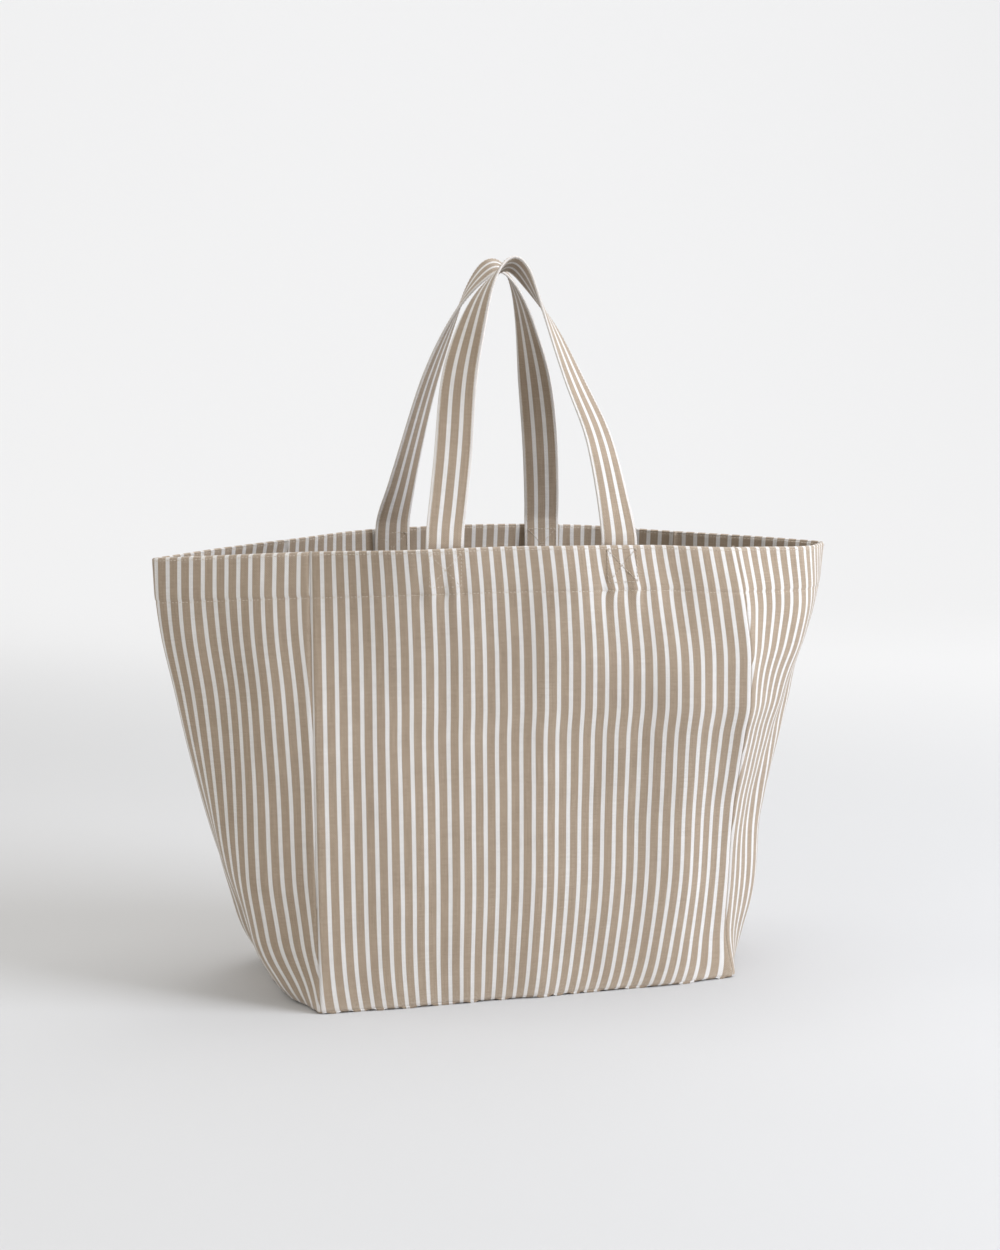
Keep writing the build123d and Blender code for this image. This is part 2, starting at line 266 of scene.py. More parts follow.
# Panel, size, wavelength, phase, and how fast the wave drifts sideways with height
SLACK_WAVES = (
    (0, 0.9, 118, 0.4, 150), (0, 0.6, 61, 1.9, 230), (0, 0.3, 33, 0.2, 95),
    (1, 0.8, 70, 0.3, 170), (1, 0.4, 37, 1.1, 120),
    (2, 1.1, 125, 2.0, 160), (2, 0.6, 57, 0.9, 210), (2, 0.3, 35, 0.7, 90),
    (3, 1.1, 76, 1.2, 180), (3, 0.5, 41, 2.6, 110),
)
# Panel, place across, height above the floor, size, width, height, and slope of the dent's line
DENTS = (
    (0, 30, 345, 6.5, 30, 70, 0.0), (0, 120, 350, -7.0, 21, 60, -0.15),
    (0, 136, 110, 7.5, 30, 80, 0.0), (0, 126, 220, 5.0, 34, 80, 0.0),
    (0, -60, 60, 1.5, 40, 40, 0.0), (0, 60, 30, -1.5, 30, 30, 0.3),
    (1, -70, 190, -2.5, 14, 70, 0.35), (1, -45, 200, 2.0, 14, 80, 0.35),
    (3, 97, 245, 3.4, 17, 85, 0.0), (3, 60, 255, -2.8, 18, 80, 0.0), (3, 30, 120, 2.0, 16, 70, 0.1),
)
# Share of the way across the front, then how far its stripes lean to the left at the base
VEERS = ((0, -4), (0.06, -6), (0.3, 0.5), (0.5, 9), (0.7, 17), (0.86, 19), (0.95, 14), (1, 7))
# Place across, and how far and how widely a strap's stitching drags the stripes sideways
DRAGS = ((66, 4.0, 10), (90, 3.0, 9), (120, 1.5, 8), (-72, 1.6, 8), (-92, 1.0, 7))
# Distance from the middle of a strap, size and width of each small pucker below it
PUCKERS = ((-15, -1.6, 3.8), (-8, 1.7, 3.4), (5, -1.6, 3.4), (12, 2.0, 3.6), (19, -1.6, 4.0))


def steady(stations, at):
    """A smooth curve through stations that never overshoots them, read at some places."""
    stations = np.asarray(stations, float)
    at = np.asarray(at, float)
    knots, values = stations[:, 0], stations[:, 1:]
    gaps = np.diff(knots)[:, None]
    slopes = np.diff(values, axis=0) / gaps
    before, after = slopes[:-1], slopes[1:]
    product = before * after
    total = before + after
    inner = np.where(product > 0, 2 * product / np.where(total == 0, 1, total), 0)
    tangents = np.vstack([slopes[:1], inner, slopes[-1:]])
    i = np.clip(np.searchsorted(knots, at) - 1, 0, len(knots) - 2)
    t = ((at - knots[i]) / gaps[i, 0])[:, None]
    t = np.clip(t, 0, 1)
    h = gaps[i]
    return (
        (2 * t**3 - 3 * t**2 + 1) * values[i] + (t**3 - 2 * t**2 + t) * h * tangents[i]
        + (3 * t**2 - 2 * t**3) * values[i + 1] + (t**3 - t**2) * h * tangents[i + 1]
    )


def unit(rows):
    """Directions of length one."""
    return rows / np.linalg.norm(rows, axis=1)[:, None]


def square_to(rows, ways):
    """Unit directions turned until they are at right angles to other unit directions."""
    return unit(rows - ways * (rows * ways).sum(axis=1)[:, None])


def distance_along(points):
    """How far along a line each of its points is."""
    steps = np.linalg.norm(np.diff(points, axis=0), axis=1)
    return np.concatenate([[0], np.cumsum(steps)])


def read_along(table, run, at):
    """A table's rows belong to places along a run; this reads it at other places."""
    return np.column_stack([np.interp(at, run, column) for column in table.T])


def even_run(points, shares):
    """Points along a line, at shares of its length."""
    run = distance_along(points)
    return read_along(points, run, np.asarray(shares) * run[-1])


# ---------------------------------------------------------------- outline of the standing bag

FRONT, RIGHT, BACK, LEFT = range(4)
GUSSET_MEAN = GUSSET_HALF_BASE + GUSSET_HALF_RIM        # mean width of a gusset


def seam_steps(width, middle_step):
    """Shares across a panel, close together beside its seams."""
    near = np.array(SEAM_COLUMNS) / width
    count = round((1 - 2 * near[-1]) * width / middle_step)
    middle = np.linspace(near[-1], 1 - near[-1], count + 1)
    return np.concatenate([near[:-1], middle, 1 - near[-2::-1]])


PANEL_SHARES = seam_steps(2 * PANEL_HALF, COLUMN_STEP)
GUSSET_SHARES = seam_steps(GUSSET_MEAN, COLUMN_STEP)
SHARES = (PANEL_SHARES, GUSSET_SHARES, PANEL_SHARES, GUSSET_SHARES)
STARTS = np.cumsum([0] + [len(shares) - 1 for shares in SHARES])
COLUMNS = STARTS[-1]
COLUMN_PANEL = np.repeat(range(4), np.diff(STARTS))
COLUMN_SHARE = np.concatenate([shares[:-1] for shares in SHARES])
COLUMN_WIDTH = np.where(COLUMN_PANEL % 2, GUSSET_MEAN, 2 * PANEL_HALF)
SEAM_DISTANCE = np.minimum(COLUMN_SHARE, 1 - COLUMN_SHARE) * COLUMN_WIDTH


def station(table, height):
    """What a table of stations says at one height."""
    return steady(table, [height])[0]


def panel_run(left, right, middle, height):
    """The section of a panel at a height, from its left seam to its right seam."""
    start, end = station(left, height), station(right, height)
    x = np.linspace(start[0], end[0], 5)
    y = [start[1], *station(middle, height), end[1]]
    fine = np.linspace(x[0], x[-1], PANEL_FINE)
    return even_run(np.column_stack([fine, steady(list(zip(x, y)), fine)[:, 0]]), PANEL_SHARES)


def gusset_run(start, fold, end, roundness, swell, height):
    """The section of a gusset at a height, from one seam round its fold to the other seam."""
    start, fold, end = (station(table, height) for table in (start, fold, end))
    soft = station(roundness, height)[0]
    across = np.linspace(-1, 1, GUSSET_FINE)[:, None]
    full = math.sqrt(1 + soft * soft)
    drop = full - np.sqrt(across**2 + soft * soft)
    to_end = (across + 1 - drop) / 2
    to_start = (1 - across - drop) / 2
    reach = (1 - full + soft) / 2
    tip = fold + (fold - (start + end) / 2) * 2 * reach / (1 - 2 * reach)
    line = tip + (start - tip) * to_start + (end - tip) * to_end
    for size, seam, side in zip(station(swell, height), (start, end), (-1, 1)):
        away = seam - fold
        out = np.array([away[1], -away[0]]) * side / np.hypot(*away)
        line = line + out * size * np.sin(math.pi * np.clip(across * side, 0, 1)) ** 2
    return even_run(line, GUSSET_SHARES)


def ring_run(height):
    """The outline of the bag at a height, anticlockwise from the front left seam."""
    height = float(np.clip(height, 0, RIM_Z))
    runs = (
        panel_run(FRONT_LEFT_SEAM, FRONT_RIGHT_SEAM, FRONT_MIDDLE, height),
        gusset_run(FRONT_RIGHT_SEAM, RIGHT_FOLD, BACK_RIGHT_SEAM, RIGHT_ROUND, RIGHT_SWELL, height),
        panel_run(BACK_LEFT_SEAM, BACK_RIGHT_SEAM, BACK_MIDDLE, height)[::-1],
        gusset_run(BACK_LEFT_SEAM, LEFT_FOLD, FRONT_LEFT_SEAM, LEFT_ROUND, LEFT_SWELL, height),
    )
    return np.vstack([run[:-1] for run in runs])


def outward(ring):
    """The outward direction at each point of a closed outline, longer at its corners."""
    ahead = unit(np.roll(ring, -1, axis=0) - ring)
    tangent = unit(ahead + np.roll(ahead, 1, axis=0))
    mitre = np.clip(1 / np.maximum((tangent * ahead).sum(axis=1), 0.1), 1, MITRE_MOST)[:, None]
    return np.column_stack([tangent[:, 1], -tangent[:, 0]]) * mitre


def rim_heights():
    """Height of the rim at every column: each table runs from the left fold to the right one."""
    across = (COLUMN_SHARE - 0.5) * 2
    front = steady(RIM_FRONT, across * PANEL_HALF)[:, 0]
    back = steady(RIM_BACK, -across * PANEL_HALF)[:, 0]
    gusset = COLUMN_SHARE * 2 * GUSSET_HALF_RIM
    near, far = PANEL_HALF + gusset, PANEL_HALF + 2 * GUSSET_HALF_RIM - gusset
    first_half = COLUMN_SHARE <= 0.5
    right = np.where(first_half, steady(RIM_FRONT, near)[:, 0], steady(RIM_BACK, far)[:, 0])
    left = np.where(first_half, steady(RIM_BACK, -near)[:, 0], steady(RIM_FRONT, -far)[:, 0])
    return np.choose(COLUMN_PANEL, (front, right, back, left))


RIM = rim_heights()
VALLEY = SEAM_DEPTH * np.exp(-((SEAM_DISTANCE / SEAM_SPREAD) ** 2))
ACROSS = (COLUMN_SHARE - 0.5) * np.where(COLUMN_PANEL % 2, 2 * GUSSET_HALF_RIM, 2 * PANEL_HALF)
FREE = np.sqrt(np.sin(math.pi * COLUMN_SHARE))


def hump(value, middle, width):
    """A bell-shaped rise from 0 to 1, around a middle."""
    return np.exp(-(((value - middle) / width) ** 2))


def relief(height):
    """How far the soft cloth stands out at every column, at a height: slack folds and puckers."""
    depth = RIM_Z - height
    start = HEM_DEPTH + SLACK_START
    slack = SLACK_LEAST + (1 - SLACK_LEAST) / (1 + math.exp((start - depth) / SLACK_EASE))
    out = np.zeros(COLUMNS)
    for panel, size, length, phase, drift in SLACK_WAVES:
        lean = phase + SLACK_LEAN * math.sin(height / drift + phase * 2)
        wave = size * np.sin(2 * math.pi * ACROSS / length + lean) * FREE
        out += np.where(COLUMN_PANEL == panel, wave, 0) * slack
    for panel, across, place, size, wide, tall, slope in DENTS:
        middle = across + slope * (height - place)
        dent = size * hump(ACROSS, middle, wide) * hump(height, place, tall) * FREE
        out += np.where(COLUMN_PANEL == panel, dent, 0)
    # Puckers where the box stitching of each strap holds the cloth
    fade = min(depth / HEM_DEPTH, 1) * math.exp(-max(depth - HEM_DEPTH, 0) / PUCKER_FADE)
    for side, size, width in PUCKERS:
        for strap in (-STRAP_PULL, STRAP_PULL):
            pucker = size * hump(ACROSS, strap + side, width) * fade
            out += np.where(COLUMN_PANEL % 2 == 0, pucker, 0)
    # The hem is thicker than the cloth below it, and its row of stitching pulls in
    out += HEM_STANDS / (1 + math.exp((depth - HEM_ROW) / HEM_EASE))
    out -= HEM_PULL * hump(depth, HEM_ROW, ROW_HALF)
    return out


def wall_row(height, inward=0.0, z=None):
    """A row of points round the bag at a height, moved inwards, and its outward directions."""
    ring = ring_run(height)
    out = outward(ring)
    plan = ring + out * (relief(min(height, RIM_Z)) - VALLEY)[:, None]
    plan = plan - out * np.broadcast_to(inward, COLUMNS)[:, None]
    if np.max(inward) > 0:
        plan = keep_apart(plan, ring)
    z = RIM * (height / RIM_Z) if z is None else z
    return np.column_stack([plan, np.broadcast_to(z, COLUMNS)]), out


def keep_apart(plan, ring):
    """Stops the inner layers of the two halves of a gusset from passing through each other."""
    plan = plan.copy()
    for panel, forward in ((RIGHT, -1), (LEFT, 1)):
        own = COLUMN_PANEL == panel
        fold_y = ring[own][np.argmax(np.abs(ring[own][:, 0])), 1]
        half = np.where(COLUMN_SHARE < 0.5, forward, -forward)
        half = np.where(np.abs(COLUMN_SHARE - 0.5) < 1e-6, 0, half)
        away = np.maximum((plan[:, 1] - fold_y) * half, INNER_GAP)
        plan[own, 1] = (fold_y + away * half)[own]
    return plan


def wall_heights():
    """Heights of the rows of the wall from the rim down, close together at the hem's stitching."""
    top = RIM_Z - FOLD_RADIUS
    stitched = RIM_Z - HEM_ROW
    hem = np.linspace(top, stitched + 3, HEM_STEPS)
    fine = np.linspace(stitched + 2, stitched - 3, GROOVE_STEPS)
    wall = np.linspace(stitched - 6, BASE_ROUND + 3, WALL_STEPS)
    return np.concatenate([hem, fine, wall, [BASE_ROUND]])


def fold_rows():
    """The turned-over rim: from just inside the bag, over the fold, to the outside."""
    rows = []
    for angle in np.linspace(math.pi, 0, FOLD_STEPS + 1)[:-1]:
        inward = FOLD_RADIUS * (1 - math.cos(angle))
        rows.append(wall_row(RIM_Z, inward, RIM - FOLD_RADIUS * (1 - math.sin(angle)))[0])
    return rows


def bottom_rows():
    """The turn from the wall to the base. The gusset rolls further under, to its seam."""
    rows = []
    turn = BASE_ROUND - FLOOR_GAP
    for angle in np.linspace(0, math.pi / 2, TURN_STEPS + 1)[1:]:
        height = BASE_ROUND - turn * math.sin(angle)
        row = wall_row(height, turn * (1 - math.cos(angle)))[0]
        row[:, 2] = height
        rows.append(row)
    under = np.where(COLUMN_PANEL % 2, np.sin(math.pi * COLUMN_SHARE), 0)
    for share in (0.5, 1.0):
        row = wall_row(FLOOR_GAP, turn + TUCK * share * under)[0]
        row[:, 2] = FLOOR_GAP + share * VALLEY
        rows.append(row)
    return rows


def panel_columns(grid, panel):
    """The part of a grid of closed rows that belongs to one panel, with both of its seams."""
    columns = np.arange(STARTS[panel], STARTS[panel + 1] + 1) % COLUMNS
    return grid[:, columns]


def panel_across(panel, grid):
    """Where every point of a panel's grid lies across its stripes, in stripes."""
    if panel % 2:
        width = np.linalg.norm(np.diff(grid, axis=1), axis=2).sum(axis=1)[:, None]
        phase = GUSSET_PHASE if panel == LEFT else -GUSSET_PHASE
        return ((GUSSET_SHARES[None, :] - 0.5) * width - phase) / PITCH
    share = PANEL_SHARES if panel == FRONT else 1 - PANEL_SHARES
    veer = steady(VEERS, share)[:, 0] * np.exp(-grid[..., 2] / VEER_HEIGHT)
    # Between the rim and the hem's stitching the straps drag the stripes, which spring back below it
    place = (share - 0.5) * 2 * PANEL_HALF
    depth = np.maximum(RIM_Z - grid[..., 2], 0)
    pull = np.minimum(depth / HEM_DEPTH, 1) ** 2 * np.exp(-np.maximum(depth - HEM_DEPTH, 0) / DRAG_FADE)
    drag = sum(shift * hump(place, middle, width) for middle, shift, width in DRAGS) * pull
    return (share * 2 * PANEL_HALF - PANEL_PHASE + veer - drag) / PITCH


def along(grid):
    """How far down its stripes every row of a grid is, in stripe widths."""
    steps = np.linalg.norm(np.diff(grid, axis=0), axis=2).mean(axis=1)
    run = np.concatenate([[0], np.cumsum(steps)]) / PITCH
    return np.broadcast_to(run[:, None], grid.shape[:2])


# ---------------------------------------------------------------- making meshes

def make_piece(name, points, faces, uvs, material, wear=None):
    """A mesh object from points in millimetres, faces, and one UV pair for every face corner."""
    mesh = bpy.data.meshes.new(name)
    mesh.from_pydata((np.asarray(points) * MM).tolist(), [], [list(face) for face in faces])
    layer = mesh.uv_layers.new(name="Cloth")
    layer.data.foreach_set("uv", np.asarray(uvs, np.float32).ravel())
    worn = mesh.attributes.new("Wear", "FLOAT", "POINT")
    if wear is not None:
        worn.data.foreach_set("value", wear.astype(np.float32))
    mesh.polygons.foreach_set("use_smooth", [True] * len(mesh.polygons))
    mesh.update()
    mesh.materials.append(material)
    piece = bpy.data.objects.new(name, mesh)
    bpy.context.scene.collection.objects.link(piece)
    return piece


def grid_faces(rows, columns, first=0):
    """The faces of a grid of points, turned so that a wall's outer face looks out."""
    corner = first + np.arange((rows - 1) * columns).reshape(rows - 1, columns)[:, :-1].ravel()
    return np.column_stack([corner + columns, corner + columns + 1, corner + 1, corner])


def grid_uvs(across, down):
    """UV pairs for the corners of a grid's faces."""
    pair = np.stack([across, down], axis=-1)
    corners = (pair[1:, :-1], pair[1:, 1:], pair[:-1, 1:], pair[:-1, :-1])
    return np.stack(corners, axis=2).reshape(-1, 2)


def tube(count, around):
    """The faces and the two end caps of a tube, whose rings run clockwise seen from its far end."""
    row, column = np.meshgrid(np.arange(count - 1), np.arange(around), indexing="ij")
    following = (column + 1) % around
    sides = np.stack([
        row * around + column, row * around + following,
        (row + 1) * around + following, (row + 1) * around + column,
    ], axis=-1).reshape(-1, 4)
    caps = [list(range(around))[::-1], list(range((count - 1) * around, count * around))]
    return sides, caps


def cloth_piece(name, grids, material):
    """A sheet of cloth made from one or more grids: points, place across, place along, and wear."""
    points, faces, uvs, wear, first = [], [], [], [], 0
    for grid, across, down, worn in grids:
        points.append(grid.reshape(-1, 3))
        faces.append(grid_faces(*grid.shape[:2], first))
        uvs.append(grid_uvs(across, down))
        wear.append(worn.ravel())
        first += grid.shape[0] * grid.shape[1]
    faces, uvs = np.vstack(faces), np.vstack(uvs)
    piece = make_piece(name, np.vstack(points), faces, uvs, material, np.concatenate(wear))
    thick = piece.modifiers.new("Thickness", "SOLIDIFY")
    thick.thickness = CLOTH * MM
    thick.offset = -1
    return piece


# ---------------------------------------------------------------- the cloth of the bag

def wall_grid():
    """Rows round the whole bag, from just inside the rim to the seams under the bag, and their heights."""
    heights = wall_heights()
    fold, wall, bottom = fold_rows(), [wall_row(height)[0] for height in heights], bottom_rows()
    row_heights = [RIM_Z] * len(fold) + list(heights) + [BASE_ROUND] * len(bottom)
    return np.array(fold + wall + bottom), np.array(row_heights)


def worn_edges(heights, panel):
    """How worn the cloth is: most along the rim, the seams and the bottom edge."""
    def wear(kind, distance):
        amount, reach = kind
        return amount * np.exp(-distance / reach)

    near_seam = wear(SEAM_WEAR, panel_columns(SEAM_DISTANCE[None], panel))
    at_rim = wear(RIM_WEAR, RIM_Z - heights)[:, None]
    at_base = wear(BASE_WEAR, np.maximum(heights - BASE_ROUND, 0))[:, None]
    return np.clip(near_seam + at_rim + at_base, 0, 1)


def base_grid(front, back, left, right):
    """The base, spread between the four bottom edges of the walls."""
    s = PANEL_SHARES[None, :, None]
    t = GUSSET_SHARES[:, None, None]
    sides = left[:, None] * (1 - s) + right[:, None] * s
    ends = front[None] * (1 - t) + back[None] * t
    corners = (
        front[0] * (1 - s) * (1 - t) + front[-1] * s * (1 - t) + back[0] * (1 - s) * t + back[-1] * s * t
    )
    sheet = sides + ends - corners
    sheet[..., 2] = np.maximum(sheet[..., 2], FLOOR_GAP)
    return sheet


def make_cloth(material):
    """The four walls, the base and the hem."""
    grid, heights = wall_grid()
    parts = {panel: panel_columns(grid, panel) for panel in range(4)}
    across = {panel: panel_across(panel, parts[panel]) for panel in range(4)}
    wear = {panel: worn_edges(heights, panel) for panel in range(4)}

    front, back = parts[FRONT], parts[BACK][::-1, ::-1]
    base = base_grid(front[-1], back[0], parts[LEFT][-1, ::-1], parts[RIGHT][-1])[1:-1]
    body = np.vstack([front, base, back])
    base_across = np.broadcast_to(across[FRONT][-1], base.shape[:2])
    body_across = np.vstack([across[FRONT], base_across, across[BACK][::-1, ::-1]])
    body_wear = np.vstack([wear[FRONT], np.zeros(base.shape[:2]), wear[BACK][::-1, ::-1]])
    pieces = [cloth_piece("body_cloth", [(body, body_across, along(body), body_wear)], material)]
    for panel, name in ((LEFT, "left_gusset_cloth"), (RIGHT, "right_gusset_cloth")):
        sheet = (parts[panel], across[panel], along(parts[panel]), wear[panel])
        pieces.append(cloth_piece(name, [sheet], material))

    inner = hem_grid()
    hem_heights = RIM_Z - np.linspace(0, HEM_DEPTH, HEM_ROWS)
    bands = []
    for panel in range(4):
        band = panel_columns(inner, panel)[::-1]
        worn = BAND_WEAR * worn_edges(hem_heights[::-1], panel)
        bands.append((band, panel_across(panel, band), along(band), worn))
    pieces.append(cloth_piece("rim_hem_band", bands, material))
    return pieces


def hem_grid():
    """The turned-in hem, from just inside the rim down to its lower edge."""
    rows = []
    for depth in np.linspace(0, HEM_DEPTH, HEM_ROWS):
        inward = 2 * FOLD_RADIUS - HEM_LOOSE * math.sin(math.pi * depth / HEM_DEPTH)
        height = RIM_Z - FOLD_RADIUS - depth
        rows.append(wall_row(height, inward, RIM - FOLD_RADIUS - depth)[0])
    return np.array(rows)


# ---------------------------------------------------------------- the straps

def soft_line(points, step, spread):
    """A smooth line through a few points, in even steps, with its corners eased over a length."""
    points = np.asarray(points, float)
    knots = distance_along(points)
    fine = np.linspace(0, knots[-1], round(knots[-1]))
    line = steady(np.column_stack([knots, points]), fine)
    reach = round(3 * spread)
    weights = np.exp(-0.5 * (np.arange(-reach, reach + 1) / spread) ** 2)
    weights /= weights.sum()
    before = line[0] + (line[0] - line[1]) * np.arange(reach, 0, -1)[:, None]
    after = line[-1] + (line[-1] - line[-2]) * np.arange(1, reach + 1)[:, None]
    long = np.vstack([before, line, after])
    eased = np.column_stack([np.convolve(column, weights, "valid") for column in long.T])
    return even_run(eased, np.linspace(0, 1, round(distance_along(eased)[-1] / step) + 1))


def strap_frame(side, legs, twists):
    """The middle line of a strap from sewn end to sewn end, its width direction and its face direction."""
    low = HINGE_Z - SEWN_DEPTH
    left, right = legs
    flat = [(left[0][0], low), *left, APEX[side], *right[::-1], (right[0][0], low)]
    line = soft_line(flat, STRAP_STEP, STRAP_EASE)
    # The loop leans in over the bag, and its sewn ends stand upright inside the hem
    rise = np.maximum(line[:, 1] - HINGE_Z - LEAN_START, 0)
    eased = np.where(rise < LEAN_EASE, rise**2 / (2 * LEAN_EASE), rise - LEAN_EASE / 2)
    y = (HINGE_Y - STRAP_INSET - eased * math.tan(math.radians(LEAN))) * side
    middle = np.column_stack([line[:, 0], y, line[:, 1]])
    tangent = unit(np.gradient(middle, axis=0))
    # Width lies along the hem at the rim and turns across the arch at the top
    height = (line[:, 1] - HINGE_Z) / (LOOP_TOP - HINGE_Z)
    top = np.argmax(line[:, 1])
    turn = np.empty(len(line))
    for own, table in zip((slice(None, top), slice(top, None)), twists):
        turn[own] = np.radians(steady(table, np.clip(height[own], 0, 1))[:, 0])
    reach = round(STRAP_EASE / STRAP_STEP) * 2
    turn = np.convolve(np.pad(turn, reach, "edge"), np.ones(2 * reach + 1) / (2 * reach + 1), "valid")
    lean = math.radians(LEAN) * np.clip(rise / LEAN_EASE, 0, 1)
    plane = np.column_stack([np.zeros(len(line)), np.cos(lean) * side, np.sin(lean)])
    level = unit(np.cross(plane, tangent) * side)
    width = level * np.cos(turn)[:, None] + plane * np.sin(turn)[:, None]
    width = square_to(width, tangent)
    return middle, tangent, width, np.cross(width, tangent)


def strap_profile():
    """The section of a strap: place across, and height of the face."""
    half, thick = STRAP_WIDTH / 2, STRAP_THICK / 2
    angle = np.linspace(2 * math.pi, 0, STRAP_SECTION, endpoint=False)
    across = half * np.sign(np.cos(angle)) * np.abs(np.cos(angle)) ** STRAP_SIDES
    face = thick * np.sign(np.sin(angle)) * np.abs(np.sin(angle)) ** STRAP_FACES
    sewn = 1 - STRAP_DIP * hump(np.abs(across), STRAP_ROW, STRAP_DIP_HALF)
    return across, face * sewn


def make_strap(name, lines, material):
    """A strap from sewn end to sewn end: a flat tube along its middle line."""
    middle, _, width, face = lines
    across, depth = strap_profile()
    count, around = len(middle), len(across)
    run = np.arange(count) * STRAP_STEP
    uneven, wave = STRAP_UNEVEN
    depth = depth * (1 + uneven * np.sin(run / wave))[:, None]
    grid = middle[:, None] + width[:, None] * across[None, :, None] + face[:, None] * depth[..., None]
    sides, caps = tube(count, around)
    place = across / PITCH - 0.5
    spots = np.concatenate([sides.ravel(), *caps])
    uvs = np.column_stack([place[spots % around], (run / PITCH)[spots // around]])
    wear_start, wear_full = STRAP_WEAR
    wear = np.tile(np.clip((np.abs(across) - wear_start) / (wear_full - wear_start), 0, 1), count)
    return make_piece(name, grid.reshape(-1, 3), sides.tolist() + caps, uvs, material, wear)


# ---------------------------------------------------------------- stitching

def thread_bits(name, stitches, material, length=STITCH):
    """Short lengths of thread: one at each centre, along its way, arched off the cloth."""
    centres, ways, outs = (np.vstack(group) for group in zip(*stitches))
    ways = unit(ways)
    outs = square_to(outs, ways)
    sides = np.cross(ways, outs)
    at = np.array(STITCH_RINGS)
    girth = np.sqrt(1 - at**4)[:, None] * THREAD
    arch = (1 - at**2) * THREAD * STITCH_RISE - THREAD * STITCH_SINK
    angle = np.linspace(2 * math.pi, 0, THREAD_SIDES, endpoint=False)
    forward = np.broadcast_to((at * length / 2)[:, None], (len(at), THREAD_SIDES))
    upward = arch[:, None] + girth * np.sin(angle)
    sideways = girth * np.cos(angle)
    points = centres[:, None, None]
    for direction, distance in ((ways, forward), (outs, upward), (sides, sideways)):
        points = points + direction[:, None, None] * distance[None, ..., None]
    walls, caps = tube(len(at), THREAD_SIDES)
    around, ring = -walls % THREAD_SIDES, walls // THREAD_SIDES
    wall_uvs = np.stack([around / THREAD_SIDES, ring / len(at)], axis=-1).reshape(-1, 2)
    uvs = np.vstack([wall_uvs, np.zeros((2 * THREAD_SIDES, 2))])
    size = len(at) * THREAD_SIDES
    faces = []
    for first in range(0, len(centres) * size, size):
        faces += (walls + first).tolist() + [[i + first for i in cap] for cap in caps]
    return make_piece(name, points.reshape(-1, 3), faces, np.tile(uvs, (len(centres), 1)), material)


def even_stitches(line, outs, closed=False):
    """Centres, ways and outward directions of stitches along a line."""
    if closed:
        line, outs = np.vstack([line, line[:1]]), np.vstack([outs, outs[:1]])
    run = distance_along(line)
    count = max(round(run[-1] / STITCH_PITCH), 1)
    at = (np.arange(count) + 0.5) * run[-1] / count
    ways = read_along(line, run, at + STITCH / 2) - read_along(line, run, at - STITCH / 2)
    return read_along(line, run, at), ways, read_along(outs, run, at)


def ring_stitches(name, depth, material):
    """A row all round the bag, on its outer face and on the inner face of the hem."""
    height, z = RIM_Z - depth, RIM - depth
    below_fold = max(depth - FOLD_RADIUS, 0)
    inward = 2 * FOLD_RADIUS - HEM_LOOSE * math.sin(math.pi * below_fold / HEM_DEPTH)
    outer, out = wall_row(height, 0.0, z)
    inner = wall_row(height, inward, z)[0]
    out = np.column_stack([out, np.zeros(len(out))])
    stitches = [even_stitches(outer, out, closed=True), even_stitches(inner, -out, closed=True)]
    return thread_bits(name, stitches, material)


def strap_stitches(name, lines, material):
    """The rows along both edges of a strap, on both of its faces, between its sewn ends."""
    middle, _, width, face = lines
    free = middle[:, 2] > HINGE_Z + 1
    middle, width, face = middle[free], width[free], face[free]
    half = STRAP_THICK / 2 * (1 - STRAP_DIP)
    stitches = []
    for edge in (-STRAP_ROW, STRAP_ROW):
        for hand in (-1, 1):
            stitches.append(even_stitches(middle + width * edge + face * hand * half, face * hand))
    return thread_bits(name, stitches, material)


def box_lines():
    """The rectangle and cross that hold a strap's end: pairs of places across and below the rim."""
    left, right, top, low = -STRAP_ROW, STRAP_ROW, BOX_TOP, BOX_LOW
    corners = [(left, top), (right, top), (right, low), (left, low)]
    sides = list(zip(corners, corners[1:] + corners[:1]))
    return sides + [(corners[0], corners[2]), (corners[1], corners[3])]


def on_wall(side, x, z):
    """The outer face of the front or back panel at a place across it and a height."""
    row = wall_row(float(z))[0]
    own = row[COLUMN_PANEL == (FRONT if side < 0 else BACK)]
    own = own[np.argsort(own[:, 0])]
    return np.array([x, np.interp(x, own[:, 0], own[:, 1]), z])


def box_stitches(name, x, side, material):
    """A stitched box on the inside of a strap's end, and the same box on the outside of the bag."""
    inside_y = side * (HINGE_Y - STRAP_INSET - STRAP_THICK / 2)
    out = np.tile([0, side, 0], (BOX_STEPS, 1))
    stitches = []
    for (start, start_depth), (end, end_depth) in box_lines():
        places = x + np.linspace(start, end, BOX_STEPS)
        heights = HINGE_Z - np.linspace(start_depth, end_depth, BOX_STEPS)
        inner = np.column_stack([places, np.full(BOX_STEPS, inside_y), heights])
        outer = np.array([on_wall(side, *place) for place in zip(places, heights)])
        stitches += [even_stitches(inner, -out), even_stitches(outer, out)]
    return thread_bits(name, stitches, material)


def seam_path(grid, heights, side):
    """The seam of one gusset, inside the bag: down the front, under the base side and up the back."""
    below_hem = grid[heights < RIM_Z - HEM_DEPTH - 1]
    panel, down, up = (LEFT, FRONT, LEFT) if side < 0 else (RIGHT, RIGHT, BACK)
    edge = panel_columns(grid, panel)[-1, ::side]
    path = eased_path(np.vstack([below_hem[:, STARTS[down]], edge[1:-1], below_hem[::-1, STARTS[up]]]))
    path[:, 2] = np.maximum(path[:, 2], SEAM_CLEAR)
    tangent = unit(np.gradient(path, axis=0))
    towards = square_to(np.array([side * SEAM_AIM[0], 0, SEAM_AIM[1]]) - path, tangent)
    return path + towards * CLOTH, tangent, towards


